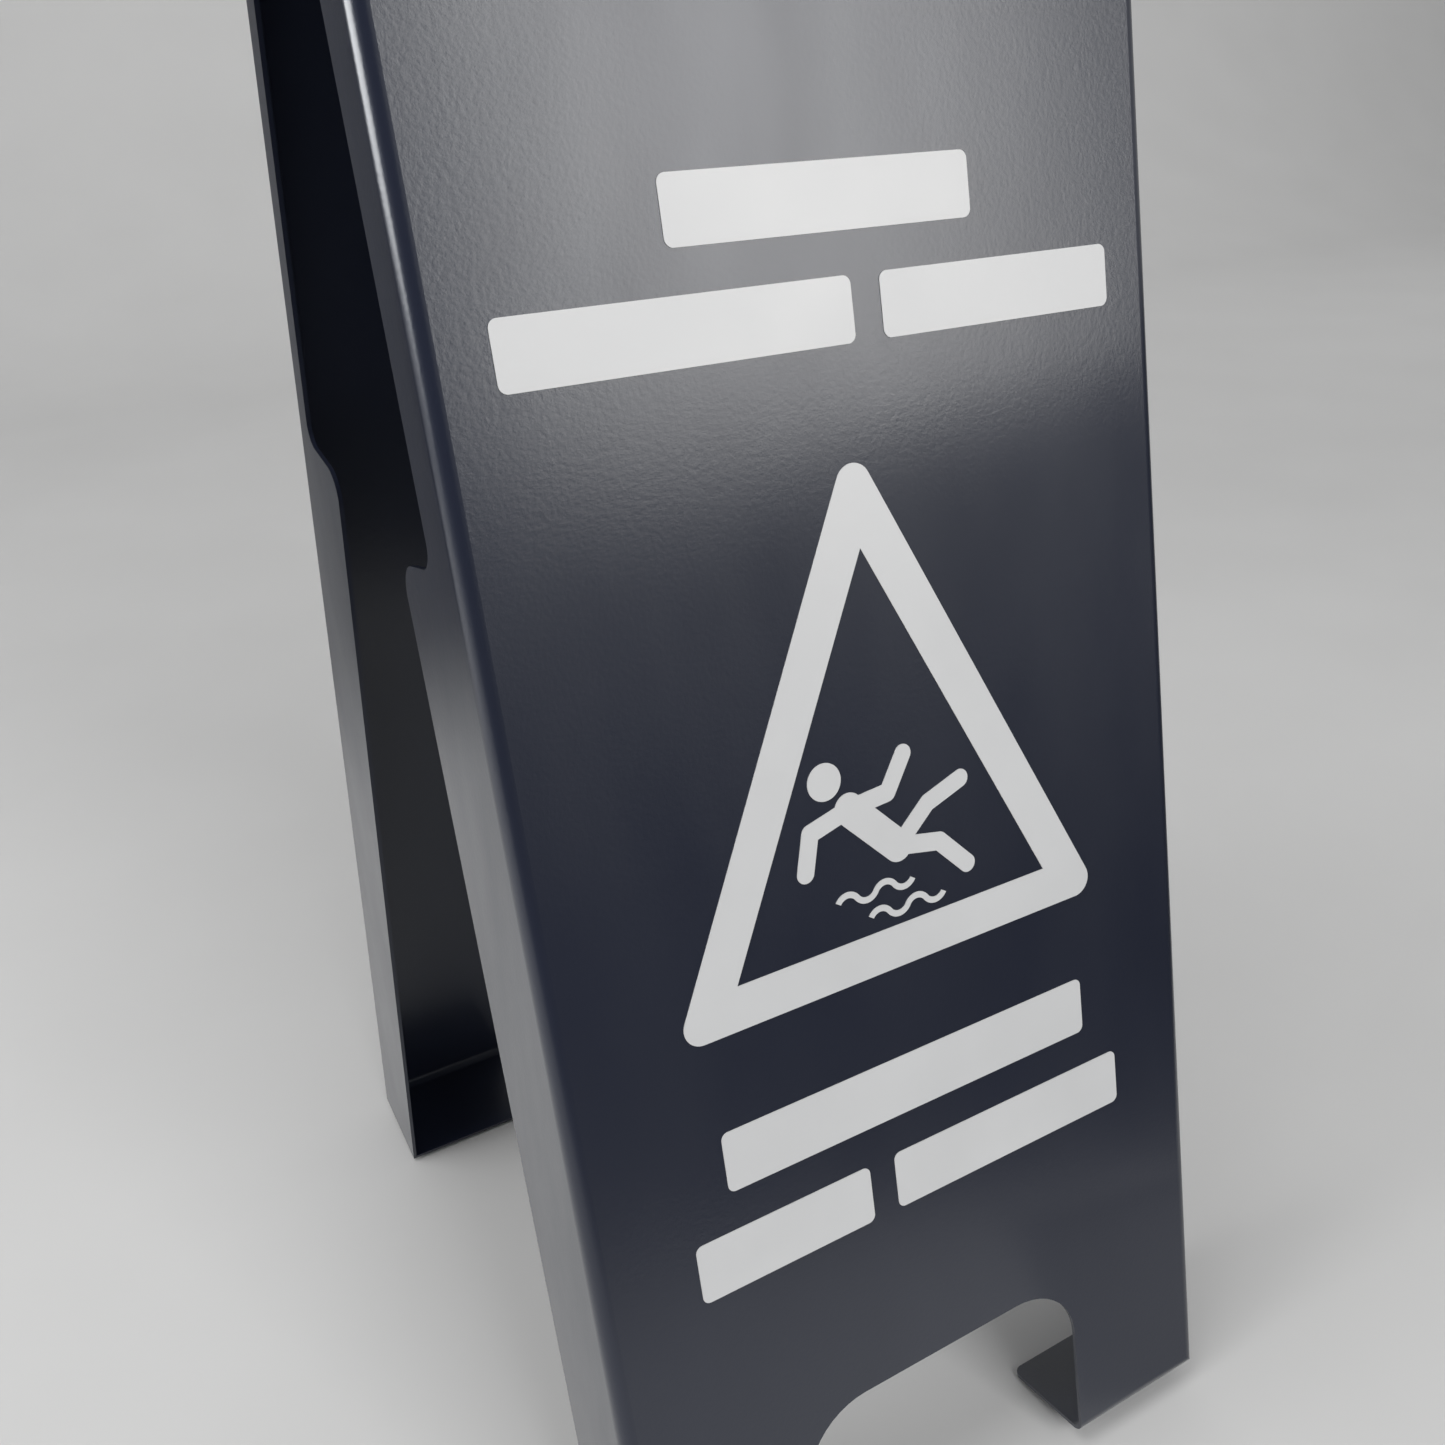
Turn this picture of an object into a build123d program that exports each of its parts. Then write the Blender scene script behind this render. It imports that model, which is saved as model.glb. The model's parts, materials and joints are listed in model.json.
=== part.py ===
from build123d import *
from math import cos, radians, sin
import os

# Folding A-frame floor sign: two folded steel pans that turn on a pair of rivets at the top.
# Millimetres and degrees. X is the sign's width, the front face looks towards -Y, +Z is up.
# The origin is on the floor, midway between the two faces' bottom edges.

# ---------------------------------------------------------------- driving dimensions
sheet = 1.2  # thickness of the steel
bend = 4.0  # outer radius of the bends
lean = 11.3  # lean of each face from upright when the sign is open
spread = 263.0  # between the bottom edges of the two faces, outside
front_width = 190.0
side_gap = 4.5  # between the side flanges of the two pans, filled by a spacer at the rivet

front_lower_depth = 40.4  # side flange below the step
front_upper_depth = 17.3  # side flange and top flange above it
front_foot_depth = 31.4
rear_lower_depth = 36.4
rear_upper_depth = 11.0
rear_foot_depth = rear_lower_depth

step_height = 293.5  # up the face, where the side flanges get narrower
step_inner_radius = 6.0
step_outer_radius = 8.0
arch_height = 57.6
arch_radius = 20.5
front_leg_width = 48.2  # each side of the arch
rear_leg_width = 52.0
foot_corner_radius = 3.0
flange_bottom_radius = 9.0

slot_length = 84.0  # carrying slot near the top of each face
slot_width = 26.0
slot_below_pivot = 42.0

front_pivot_depth = 9.5  # pivot axis behind each outer face
rear_pivot_depth = 7.3
front_top_above_pivot = 15.5
rear_top_above_pivot = 12.3  # the top flange's edge then stops the opening against the front face
rivet_radius = 2.0
rivet_running_clearance = 0.06
rivet_head_radius = 5.0
rivet_head_height = 2.0
rivet_tail_radius = 3.2
rivet_tail_height = 1.5
washer_radius = 5.0
side_clearance = 0.1  # beside each turning flange

foot_gap = 1.3  # from the floor to the free edges of the feet
pad_radius = 7.0
pad_depth = 18.0  # pad centre behind the outer face

film = 0.2  # thickness of the cut film

# ---------------------------------------------------------------- worked out from them
rear_width = front_width - 2 * (sheet + side_gap)
sin_lean = sin(radians(lean))
cos_lean = cos(radians(lean))

front_bottom = foot_gap + front_foot_depth * sin_lean
rear_bottom = foot_gap + rear_foot_depth * sin_lean
front_face = Plane(
    origin=(0, -spread / 2, front_bottom), x_dir=(1, 0, 0), z_dir=(0, -cos_lean, sin_lean)
)
rear_face = Plane(
    origin=(0, spread / 2, rear_bottom), x_dir=(-1, 0, 0), z_dir=(0, cos_lean, sin_lean)
)

# The pivot axis lies front_pivot_depth behind one face and rear_pivot_depth behind the other.
pivot_sum = (spread - (front_pivot_depth + rear_pivot_depth) * cos_lean) / sin_lean
pivot_difference = (
    rear_bottom - front_bottom + (front_pivot_depth - rear_pivot_depth) * sin_lean
) / cos_lean
front_pivot_height = (pivot_sum + pivot_difference) / 2
rear_pivot_height = (pivot_sum - pivot_difference) / 2
front_height = front_pivot_height + front_top_above_pivot
rear_height = rear_pivot_height + rear_top_above_pivot
pivot_point = front_face.from_local_coords((0, front_pivot_height, -front_pivot_depth))


# ---------------------------------------------------------------- folded pans
def folded_pan(face, width, height, lower_depth, upper_depth, foot_depth, leg_width):
    """One sheet folded into a face, two stepped side flanges, a top flange and two feet."""
    outward = Axis(face.origin, face.z_dir)
    upward = Axis(face.origin, face.y_dir)
    side = Plane(origin=face.origin, x_dir=-face.z_dir, z_dir=face.x_dir)
    with BuildPart() as pan:
        # A tray with rounded bends, open at the back
        with BuildSketch(face):
            Rectangle(width, height, align=(Align.CENTER, Align.MIN))
        extrude(amount=-lower_depth)
        top_corners = pan.edges().filter_by(outward).group_by(upward)[-1]
        fillet(top_corners, bend)
        fillet(pan.faces().sort_by(outward)[-1].edges(), bend)
        offset(amount=-sheet, openings=pan.faces().sort_by(outward)[0])

        # The stepped free edge of the side flanges
        with BuildSketch(side):
            with BuildLine():
                inner_start = (upper_depth, step_height + step_inner_radius)
                inner_end = (upper_depth + step_inner_radius, step_height)
                outer_start = (lower_depth - step_outer_radius, step_height)
                outer_end = (lower_depth, step_height - step_outer_radius)
                Line((upper_depth, height + 1), inner_start)
                TangentArc(inner_start, inner_end, tangent=(0, -1))
                Line(inner_end, outer_start)
                TangentArc(outer_start, outer_end, tangent=(1, 0))
                Polyline(
                    outer_end,
                    (lower_depth + 1, outer_end[1]),
                    (lower_depth + 1, height + 1),
                    (upper_depth, height + 1),
                )
            make_face()
        extrude(amount=width, both=True, mode=Mode.SUBTRACT)

        # The arch, which leaves a leg and a foot on each side
        with BuildSketch(face) as arch:
            with Locations((0, -1)):
                Rectangle(
                    width - 2 * leg_width, arch_height + 1, align=(Align.CENTER, Align.MIN)
                )
            fillet(arch.vertices().group_by(Axis.Y)[-1], arch_radius)
        extrude(amount=lower_depth + 1, both=True, mode=Mode.SUBTRACT)

        # Feet shorter than the side flanges, whose bottom corners are rounded clear of the floor
        if foot_depth < lower_depth:
            with BuildSketch(side):
                with Locations((foot_depth, -1)):
                    Rectangle(lower_depth, sheet + 1, align=(Align.MIN, Align.MIN))
            extrude(amount=width / 2 - sheet, both=True, mode=Mode.SUBTRACT)
            flange_corners = pan.edges().filter_by(Axis.X).filter_by(
                lambda edge: abs(edge.length - sheet) < 0.01
            )
            lowest_back = flange_corners.group_by(upward)[0].group_by(outward)[0]
            fillet(lowest_back, flange_bottom_radius)
        foot_edges = pan.edges().filter_by(upward).filter_by(
            lambda edge: abs(edge.length - sheet) < 0.01
        )
        fillet(foot_edges.sort_by(lambda edge: abs(edge.center().X))[:2], foot_corner_radius)
    return pan.part


def pierce(pan, face, pivot_depth, pivot_height, hole_radius):
    """The pivot holes through both side flanges and the carrying slot through the face."""
    side = Plane(origin=face.origin, x_dir=-face.z_dir, z_dir=face.x_dir)
    with BuildPart() as pierced:
        add(pan)
        with BuildSketch(side):
            with Locations((pivot_depth, pivot_height)):
                Circle(hole_radius)
        extrude(amount=front_width, both=True, mode=Mode.SUBTRACT)
        with BuildSketch(face):
            with Locations((0, pivot_height - slot_below_pivot)):
                SlotOverall(slot_length, slot_width)
        extrude(amount=2 * sheet, both=True, mode=Mode.SUBTRACT)
    return pierced.part


front_blank = folded_pan(
    front_face,
    front_width,
    front_height,
    front_lower_depth,
    front_upper_depth,
    front_foot_depth,
    front_leg_width,
)
front_panel = pierce(
    front_blank, front_face, front_pivot_depth, front_pivot_height, rivet_radius
)
rear_blank = folded_pan(
    rear_face,
    rear_width,
    rear_height,
    rear_lower_depth,
    rear_upper_depth,
    rear_foot_depth,
    rear_leg_width,
)
rear_panel = pierce(
    rear_blank,
    rear_face,
    rear_pivot_depth,
    rear_pivot_height,
    rivet_radius + rivet_running_clearance,
)


# ---------------------------------------------------------------- rivets and spacers
def pivot_plane(side, inset):
    """A plane across the pivot axis, its normal pointing out of the sign on that side."""
    x = side * (front_width / 2 - inset)
    return Plane(origin=(x, pivot_point.Y, pivot_point.Z), z_dir=(side, 0, 0))


def pivot_rivet(side):
    """A domed head outside, a plain shank, and a tail set inside the rear pan's flange."""
    tail_inset = 2 * sheet + side_gap + side_clearance
    with BuildPart() as rivet:
        with BuildSketch(pivot_plane(side, 0)):
            Circle(rivet_head_radius)
        extrude(amount=rivet_head_height)
        dome = rivet.faces().sort_by(Axis.X)[-1 if side > 0 else 0]
        fillet(dome.edges(), 0.8 * rivet_head_height)
        with BuildSketch(pivot_plane(side, 0)):
            Circle(rivet_radius)
        extrude(amount=-tail_inset)
        with BuildSketch(pivot_plane(side, tail_inset)):
            Circle(rivet_tail_radius)
        extrude(amount=-rivet_tail_height)
        tail = rivet.faces().sort_by(Axis.X)[0 if side > 0 else -1]
        chamfer(tail.edges(), rivet_tail_height / 3)
    return rivet.part


def spacer_washer(side):
    """A nylon washer between the two side flanges."""
    with BuildPart() as washer:
        with BuildSketch(pivot_plane(side, sheet)):
            Circle(washer_radius)
            Circle(rivet_radius + rivet_running_clearance, mode=Mode.SUBTRACT)
        extrude(amount=-(side_gap - side_clearance))
    return washer.part


# ---------------------------------------------------------------- foot pads
def foot_pad(face, middle):
    """A round rubber pad under a foot, worn level with the floor."""
    foot = Plane(origin=face.origin, x_dir=face.x_dir, z_dir=-face.y_dir)
    with BuildPart() as pad:
        with BuildSketch(foot):
            with Locations((middle, -pad_depth)):
                Circle(pad_radius)
        extrude(amount=3 * pad_radius)
        split(bisect_by=Plane.XY, keep=Keep.TOP)
    return pad.part


# ---------------------------------------------------------------- cut film graphics
band = 11.3  # width of the warning triangle's outline
triangle_bottom = 186.4  # inner base line, up the face
triangle_base = 94.2  # inner triangle
triangle_height = 95.2
triangle_corner_radius = 4.8

upper_cap_height = 14.5
lower_cap_height = 16.3
upper_lines = [(358.0, [79.0]), (334.2, [84.6, 67.4])]  # line centre, word lengths
lower_lines = [(142.4, [114.2]), (115.6, [51.2, 77.4])]
word_gap = 7.8
bar_corner_radius = 2.0

head_radius = 4.7
torso_width = 8.2
limb_width = 4.8
wave_width = 1.6
wave_length = 5.6  # one half wave
wave_rise = 1.5
wave_count = 4


def triangle_film(face):
    """A triangular outline with rounded outer and sharp inner corners."""
    half_base = triangle_base / 2
    side_length = (half_base**2 + triangle_height**2) ** 0.5
    flare = half_base / triangle_height  # half the base for each unit of height
    outer_half_base = half_base + band * (flare + side_length / triangle_height)
    outer_height = outer_half_base / flare
    with BuildPart() as triangle:
        with BuildSketch(face) as outline:
            base = triangle_bottom - band
            with BuildLine():
                Polyline(
                    (-outer_half_base, base),
                    (outer_half_base, base),
                    (0, base + outer_height),
                    close=True,
                )
            make_face()
            fillet(outline.vertices(), triangle_corner_radius)
            with BuildLine():
                Polyline(
                    (-half_base, triangle_bottom),
                    (half_base, triangle_bottom),
                    (0, triangle_bottom + triangle_height),
                    close=True,
                )
            make_face(mode=Mode.SUBTRACT)
        extrude(amount=film)
    return triangle.part


def graphic_plane(face):
    """The face's plane, measured from the middle of the triangle's inner base line."""
    origin = face.from_local_coords((0, triangle_bottom, 0))
    return Plane(origin=origin, x_dir=face.x_dir, z_dir=face.z_dir)


def figure_film(face):
    """A plain figure losing its footing: a disc for the head, round-ended bars for the rest."""
    head = (-17.0, 42.5)
    chest = (-11.0, 34.0)
    hip = (2.0, 20.5)
    low_elbow = (-22.5, 31.0)
    low_hand = (-25.0, 21.5)
    high_elbow = (0.5, 35.0)
    high_hand = (6.0, 43.5)
    high_knee = (12.0, 29.0)
    high_foot = (22.5, 32.5)
    low_knee = (14.5, 18.0)
    low_foot = (22.5, 9.5)
    limbs = [
        (chest, low_elbow, low_hand),
        (chest, high_elbow, high_hand),
        (hip, high_knee, high_foot),
        (hip, low_knee, low_foot),
    ]
    with BuildPart() as figure:
        with BuildSketch(graphic_plane(face)):
            with Locations(head):
                Circle(head_radius)
            SlotCenterPoint((Vector(chest) + Vector(hip)) / 2, hip, torso_width)
            for body_end, joint, free_end in limbs:
                SlotCenterPoint((Vector(body_end) + Vector(joint)) / 2, joint, limb_width)
                SlotCenterPoint((Vector(joint) + Vector(free_end)) / 2, free_end, limb_width)
        extrude(amount=film)
    return figure.part


def water_film(face):
    """Two wavy lines under the figure."""
    starts = [(-17.0, 11.0), (-8.0, 4.5)]
    with BuildPart() as water:
        for start in starts:
            with BuildSketch(graphic_plane(face)):
                with BuildLine():
                    for wave in range(wave_count):
                        left = (start[0] + wave * wave_length, start[1])
                        right = (left[0] + wave_length, start[1])
                        SagittaArc(left, right, wave_rise * (-1) ** wave)
                trace(line_width=wave_width)
            extrude(amount=film)
    return water.part


def text_bars(face, lines, cap_height):
    """One plain bar for each word, every line centred on the face."""
    with BuildPart() as bars:
        with BuildSketch(face):
            for line_height, words in lines:
                left = -(sum(words) + word_gap * (len(words) - 1)) / 2
                for word in words:
                    with Locations((left + word / 2, line_height)):
                        RectangleRounded(word, cap_height, bar_corner_radius)
                    left += word + word_gap
        extrude(amount=film)
    return bars.part


# ---------------------------------------------------------------- write the pieces
pieces = {
    "front_panel": front_panel,
    "rear_panel": rear_panel,
    "pivot_rivet_left": pivot_rivet(-1),
    "pivot_rivet_right": pivot_rivet(1),
    "spacer_washer_left": spacer_washer(-1),
    "spacer_washer_right": spacer_washer(1),
}
for end, face, foot_middle in [
    ("front", front_face, (front_width - front_leg_width) / 2),
    ("rear", rear_face, (rear_width - rear_leg_width) / 2),
]:
    for hand, side in [("left", -1), ("right", 1)]:
        pieces[f"{end}_foot_pad_{hand}"] = foot_pad(face, side * face.x_dir.X * foot_middle)
    pieces[f"{end}_triangle_film"] = triangle_film(face)
    pieces[f"{end}_figure_film"] = figure_film(face)
    pieces[f"{end}_water_film"] = water_film(face)
    pieces[f"{end}_upper_text_bars"] = text_bars(face, upper_lines, upper_cap_height)
    pieces[f"{end}_lower_text_bars"] = text_bars(face, lower_lines, lower_cap_height)

os.makedirs("parts", exist_ok=True)
for name, piece in pieces.items():
    piece.label = name
    export_step(piece, f"parts/{name}.step")
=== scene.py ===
import json
from math import cos, pi, radians, sin

import bpy
from mathutils import Euler, Matrix, Vector

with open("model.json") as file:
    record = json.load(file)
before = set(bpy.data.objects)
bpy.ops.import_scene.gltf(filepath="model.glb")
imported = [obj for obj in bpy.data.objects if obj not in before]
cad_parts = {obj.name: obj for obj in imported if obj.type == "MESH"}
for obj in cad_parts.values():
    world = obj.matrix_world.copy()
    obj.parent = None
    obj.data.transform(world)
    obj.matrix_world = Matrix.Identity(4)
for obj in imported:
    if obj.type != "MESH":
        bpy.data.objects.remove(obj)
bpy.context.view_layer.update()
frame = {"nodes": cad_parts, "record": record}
scene = bpy.context.scene

# ---------------------------------------------------------------- camera
camera_place = Vector((-0.1718, -0.3181, 0.3844))
camera_heading = 28.98  # to the right of +Y
camera_tilt = -26.07
camera_roll = -2.22
camera_sensor = 36.0  # mm wide
camera_lens = 33.42  # mm
camera_nearest = 0.01


def make_camera():
    """The photo's camera, close to the front left of the sign and looking down at it."""
    data = bpy.data.cameras.new("camera")
    data.sensor_width = camera_sensor
    data.lens = camera_lens
    data.clip_start = camera_nearest
    camera = bpy.data.objects.new("camera", data)
    scene.collection.objects.link(camera)
    aimed = Euler((radians(90 + camera_tilt), 0, radians(-camera_heading))).to_matrix()
    rolled = aimed @ Matrix.Rotation(radians(camera_roll), 3, "Z")
    camera.matrix_world = Matrix.Translation(camera_place) @ rolled.to_4x4()
    scene.camera = camera


# ---------------------------------------------------------------- node helpers
usual_noise = (0.3, 0.7)  # nearly all of a noise texture's values lie between these
whole_range = (0, 1)

# The Mix node has one socket of the same name for each kind of value, so these are counted.
mix_factor = 0
mix_first_colour = 6
mix_second_colour = 7
mix_colour_result = 2


def new_material(name):
    """A material, its node tree, and its Principled shader."""
    material = bpy.data.materials.new(name)
    material.use_nodes = True
    tree = material.node_tree
    return material, tree, tree.nodes["Principled BSDF"]


def object_coordinates(tree):
    return tree.nodes.new("ShaderNodeTexCoord").outputs["Object"]


def stretched(tree, coordinates, scale):
    """The coordinates times the scale, so a pattern grows longer along an axis below 1."""
    node = tree.nodes.new("ShaderNodeMapping")
    node.inputs["Scale"].default_value = scale
    tree.links.new(coordinates, node.inputs["Vector"])
    return node.outputs["Vector"]


def noise(tree, coordinates, scale, detail):
    node = tree.nodes.new("ShaderNodeTexNoise")
    node.inputs["Scale"].default_value = scale
    node.inputs["Detail"].default_value = detail
    tree.links.new(coordinates, node.inputs["Vector"])
    return node.outputs["Fac"]


def remap(tree, value, old_range, new_range):
    node = tree.nodes.new("ShaderNodeMapRange")
    node.inputs["From Min"].default_value = old_range[0]
    node.inputs["From Max"].default_value = old_range[1]
    node.inputs["To Min"].default_value = new_range[0]
    node.inputs["To Max"].default_value = new_range[1]
    tree.links.new(value, node.inputs["Value"])
    return node.outputs["Result"]


def mottled_colour(tree, mottle, shades):
    """A colour that drifts between two near shades with the mottle."""
    first, second = shades
    node = tree.nodes.new("ShaderNodeMix")
    node.data_type = "RGBA"
    node.inputs[mix_first_colour].default_value = (*first, 1)
    node.inputs[mix_second_colour].default_value = (*second, 1)
    tree.links.new(remap(tree, mottle, usual_noise, whole_range), node.inputs[mix_factor])
    return node.outputs[mix_colour_result]


def bump(tree, height, distance, strength, normal=None):
    node = tree.nodes.new("ShaderNodeBump")
    node.inputs["Distance"].default_value = distance
    node.inputs["Strength"].default_value = strength
    tree.links.new(height, node.inputs["Height"])
    if normal is not None:
        tree.links.new(normal, node.inputs["Normal"])
    return node.outputs["Normal"]


# ---------------------------------------------------------------- materials
coat_shades = ((0.0135, 0.0167, 0.031), (0.016, 0.0195, 0.0355))
coat_base_roughness = (0.3, 0.42)
coat_gloss_roughness = (0.225, 0.262)
coat_base_ior = 1.3
coat_gloss_ior = 1.43
coat_tint = (0.85, 0.93, 1.0, 1.0)
mottle_scale = 9
smear_scale = 34
smear_stretch = (1, 1, 0.35)  # upright marks, as a cloth leaves them
peel_scale = 850
peel_depth = 0.00007
peel_strength = 0.4
grain_scale = 3000
grain_depth = 0.00003
grain_strength = 0.3

finish_grain_depth = 0.00005
finish_grain_strength = 0.4
finish_grain_ratio = 12  # how many times finer than its mottle a plain finish's grain is


def coat_surface(tree, where):
    """The coat's orange peel, with a finer grain on top."""
    peel = noise(tree, where, peel_scale, detail=2)
    grain = noise(tree, where, grain_scale, detail=1)
    orange_peel = bump(tree, peel, peel_depth, peel_strength)
    return bump(tree, grain, grain_depth, grain_strength, orange_peel)


def powder_coat():
    """Satin near-black blue powder coat: fine orange peel, and upright wiping smears in its gloss."""
    material, tree, shader = new_material("satin_powder_coat")
    where = object_coordinates(tree)
    mottle = noise(tree, where, mottle_scale, detail=3)
    smear = noise(tree, stretched(tree, where, smear_stretch), smear_scale, detail=5)
    colour = mottled_colour(tree, mottle, coat_shades)
    base_roughness = remap(tree, smear, usual_noise, coat_base_roughness)
    gloss_roughness = remap(tree, smear, usual_noise, coat_gloss_roughness)
    surface = coat_surface(tree, where)
    tree.links.new(colour, shader.inputs["Base Color"])
    tree.links.new(base_roughness, shader.inputs["Roughness"])
    tree.links.new(gloss_roughness, shader.inputs["Coat Roughness"])
    tree.links.new(surface, shader.inputs["Normal"])
    tree.links.new(surface, shader.inputs["Coat Normal"])
    shader.inputs["IOR"].default_value = coat_base_ior
    shader.inputs["Specular Tint"].default_value = coat_tint
    shader.inputs["Coat Weight"].default_value = 1.0
    shader.inputs["Coat IOR"].default_value = coat_gloss_ior
    return material


def plain_finish(name, shades, roughness, scale, metallic=0.0):
    """A surface with a slight mottle in its colour, gloss and grain."""
    material, tree, shader = new_material(name)
    where = object_coordinates(tree)
    mottle = noise(tree, where, scale, detail=3)
    grain = noise(tree, where, finish_grain_ratio * scale, detail=2)
    surface = bump(tree, grain, finish_grain_depth, finish_grain_strength)
    tree.links.new(mottled_colour(tree, mottle, shades), shader.inputs["Base Color"])
    tree.links.new(remap(tree, mottle, usual_noise, roughness), shader.inputs["Roughness"])
    tree.links.new(surface, shader.inputs["Normal"])
    shader.inputs["Metallic"].default_value = metallic
    return material


def rivet_steel():
    shades = ((0.5, 0.5, 0.51), (0.62, 0.62, 0.63))
    return plain_finish("rivet_steel", shades, roughness=(0.25, 0.4), scale=150, metallic=1.0)


def nylon():
    shades = ((0.68, 0.66, 0.6), (0.76, 0.74, 0.69))
    return plain_finish("nylon", shades, roughness=(0.45, 0.6), scale=120)


def rubber():
    shades = ((0.012, 0.012, 0.013), (0.025, 0.025, 0.026))
    return plain_finish("rubber", shades, roughness=(0.6, 0.8), scale=150)


def white_film():
    shades = ((0.615, 0.62, 0.625), (0.645, 0.65, 0.655))
    return plain_finish("white_film", shades, roughness=(0.35, 0.45), scale=30)


def paper():
    shades = ((0.645, 0.645, 0.64), (0.665, 0.665, 0.66))
    return plain_finish("paper", shades, roughness=(0.6, 0.7), scale=6)


def felt(name):
    shades = ((0.012, 0.012, 0.013), (0.017, 0.017, 0.018))
    return plain_finish(name, shades, roughness=(0.9, 1.0), scale=40)


def dress_nodes():
    """Gives every CAD node its material, by its slot in the record."""
    finishes = {
        "powder_coat": powder_coat(),
        "rivet_steel": rivet_steel(),
        "nylon": nylon(),
        "rubber": rubber(),
        "white_film": white_film(),
    }
    for subpart in frame["record"]["subparts"]:
        node = frame["nodes"][subpart["node"]]
        node.data.materials.clear()
        node.data.materials.append(finishes[subpart["material_slot"]])


# ---------------------------------------------------------------- floor and backdrop
def mesh_object(name, corners, faces, material):
    """A mesh that belongs to the studio and not to the sign."""
    mesh = bpy.data.meshes.new(name)
    mesh.from_pydata(corners, [], faces)
    mesh.materials.append(material)
    made = bpy.data.objects.new(name, mesh)
    scene.collection.objects.link(made)
    return made


def sweep():
    """A pale floor that curves up into a backdrop behind the sign."""
    half_width = 6.0
    front = -3.0
    bend_start = 1.6
    bend_radius = 0.9
    wall_top = 3.0
    steps = 24
    profile = [(front, 0.0), (bend_start, 0.0)]
    for step in range(1, steps + 1):
        turn = pi / 2 * step / steps
        profile.append((bend_start + bend_radius * sin(turn), bend_radius * (1 - cos(turn))))
    profile.append((bend_start + bend_radius, wall_top))
    corners = [(x, y, z) for y, z in profile for x in (-half_width, half_width)]
    faces = [(2 * i, 2 * i + 1, 2 * i + 3, 2 * i + 2) for i in range(len(profile) - 1)]
    made = mesh_object("sweep", corners, faces, paper())
    made.data.shade_smooth()


# ---------------------------------------------------------------- dark cards
def fade_out_below(material, height):
    """Clear at the floor, solid from this height up."""
    tree = material.node_tree
    split = tree.nodes.new("ShaderNodeSeparateXYZ")
    tree.links.new(object_coordinates(tree), split.inputs["Vector"])
    solid = remap(tree, split.outputs["Z"], (0, height), whole_range)
    tree.links.new(solid, tree.nodes["Principled BSDF"].inputs["Alpha"])


def dark_card(name, foot, top, density=1.0, fade_height=0.0):
    """A dark card, or a net where its density is below 1, that only the satin coat's reflections show.

    foot and top are its lower and upper edges, each a pair of corners that start on the same side.
    """
    material = felt(name + "_felt")
    material.node_tree.nodes["Principled BSDF"].inputs["Alpha"].default_value = density
    if fade_height > 0:
        fade_out_below(material, fade_height)
    card = mesh_object(name, [*foot, *reversed(top)], [(0, 1, 2, 3)], material)
    card.visible_camera = False
    card.visible_diffuse = False
    card.visible_shadow = False


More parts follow.
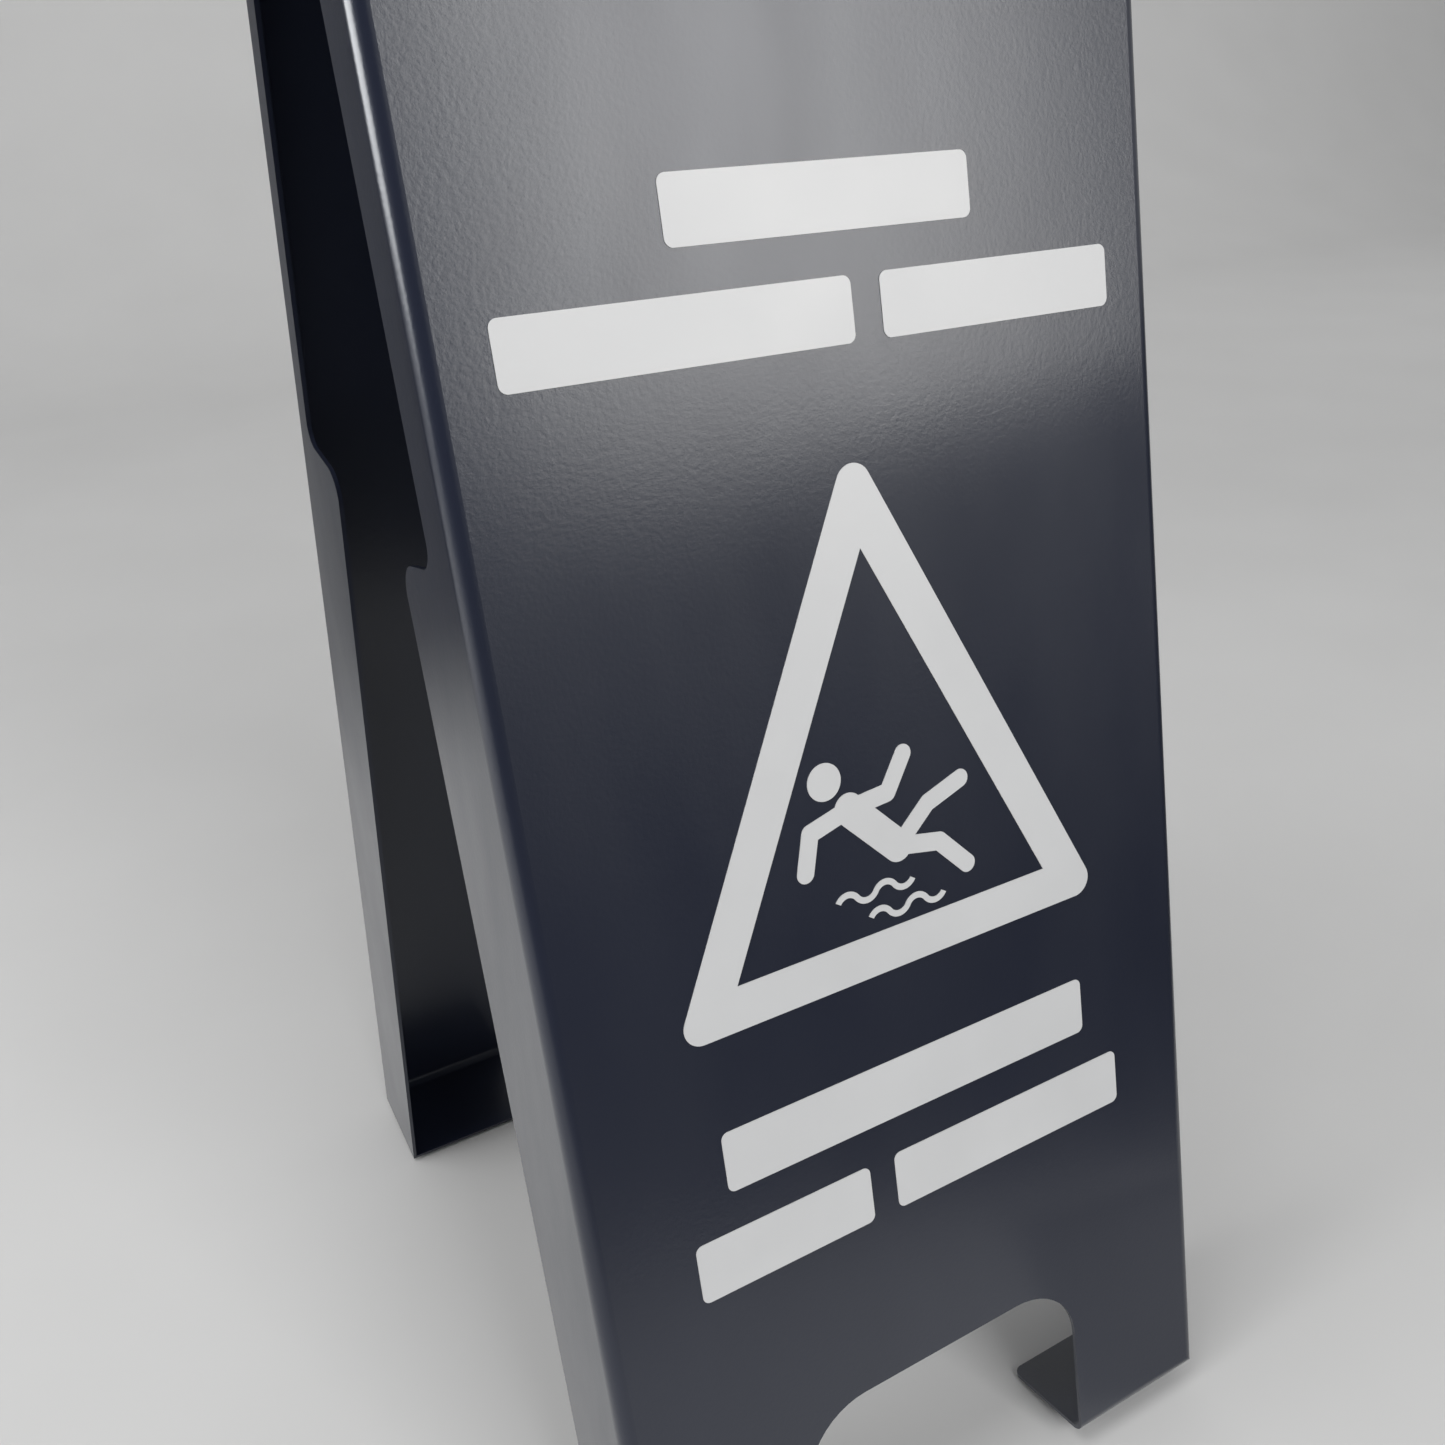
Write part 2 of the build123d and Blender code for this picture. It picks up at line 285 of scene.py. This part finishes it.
def set_cards():
    """Cards that darken the lower face, the left bend and the upper flanges, as in the photo."""
    dark_card(
        "front_card",
        foot=((-0.9, -0.46, 0), (1.2, -0.24, 0)),
        top=((-0.9, -0.55, 0.36), (1.2, -0.55, 0.36)),
        density=0.97,
    )
    dark_card(
        "right_card",
        foot=((0.02, -0.37, 0), (0.55, 0.02, 0)),
        top=((0.02, -0.39, 0.335), (0.55, 0.0, 0.335)),
        density=0.97,
    )
    dark_card(
        "foot_card",
        foot=((0.06, -0.15, 0), (0.4, 0.0, 0)),
        top=((0.06, -0.165, 0.06), (0.4, -0.015, 0.06)),
        density=0.4,
    )
    dark_card(
        "left_card",
        foot=((-0.7, 0.4, 0), (-0.17, 0.4, 0)),
        top=((-0.7, 0.6, 0.6), (-0.17, 0.6, 0.6)),
        fade_height=0.08,
    )
    dark_card(
        "side_card",
        foot=((-1.0, -0.12, 0.2), (-1.0, -0.8, 0.2)),
        top=((-1.0, -0.12, 1.5), (-1.0, -0.8, 1.5)),
    )
    dark_card(
        "corner_card",
        foot=((-1.0, -0.8, 0.2), (-0.2, -1.1, 0.2)),
        top=((-1.0, -0.8, 1.5), (-0.2, -1.1, 1.5)),
    )


# ---------------------------------------------------------------- lights
def softbox(name, place, target, size, power):
    """A rectangular lamp, its size given as width and height, turned toward the target."""
    data = bpy.data.lights.new(name, "AREA")
    data.shape = "RECTANGLE"
    data.size, data.size_y = size
    data.energy = power
    lamp = bpy.data.objects.new(name, data)
    scene.collection.objects.link(lamp)
    lamp.location = place
    toward = Vector(target) - Vector(place)
    lamp.rotation_euler = toward.to_track_quat("-Z", "Y").to_euler()
    return lamp


def filling_box(name, place, target, size, power):
    """A softbox that lights the surfaces and doesn't show in their reflections."""
    lamp = softbox(name, place, target, size, power)
    lamp.visible_glossy = False


def mirrored_box(name, place, target, size, power, colour=(1.0, 1.0, 1.0)):
    """A softbox that shows only in reflections."""
    lamp = softbox(name, place, target, size, power)
    lamp.visible_diffuse = False
    lamp.data.color = colour


def set_lights():
    filling_box("key_box", (0.2, -2.4, 2.1), (0, 0, 0.3), (1.4, 1.4), 43)
    filling_box("left_box", (-1.0, -0.05, 2.2), (-0.3, -0.05, 0), (1.0, 1.0), 15)
    filling_box("side_box", (-1.9, 0.0, 0.9), (0, 0, 0), (0.9, 0.9), 12)
    filling_box("right_box", (1.6, 0.6, 2.0), (2.6, 2.6, 1.5), (1.0, 1.0), 12)
    mirrored_box("front_box", (1.36, -2.26, 1.25), (0, 0, 0.4), (1.2, 1.8), 49, (1.0, 0.975, 0.94))
    mirrored_box("strip_box", (-1.95, 0.6, 0.98), (0, 0, 0.45), (1.5, 1.15), 58)


def set_sky():
    """An even pale light from all around."""
    sky_colour = (0.99, 0.99, 1, 1)
    sky_strength = 0.345
    world = bpy.data.worlds.new("studio")
    world.use_nodes = True
    background = world.node_tree.nodes["Background"]
    background.inputs["Color"].default_value = sky_colour
    background.inputs["Strength"].default_value = sky_strength
    scene.world = world


make_camera()
dress_nodes()
sweep()
set_cards()
set_lights()
set_sky()
scene.view_settings.view_transform = "Standard"
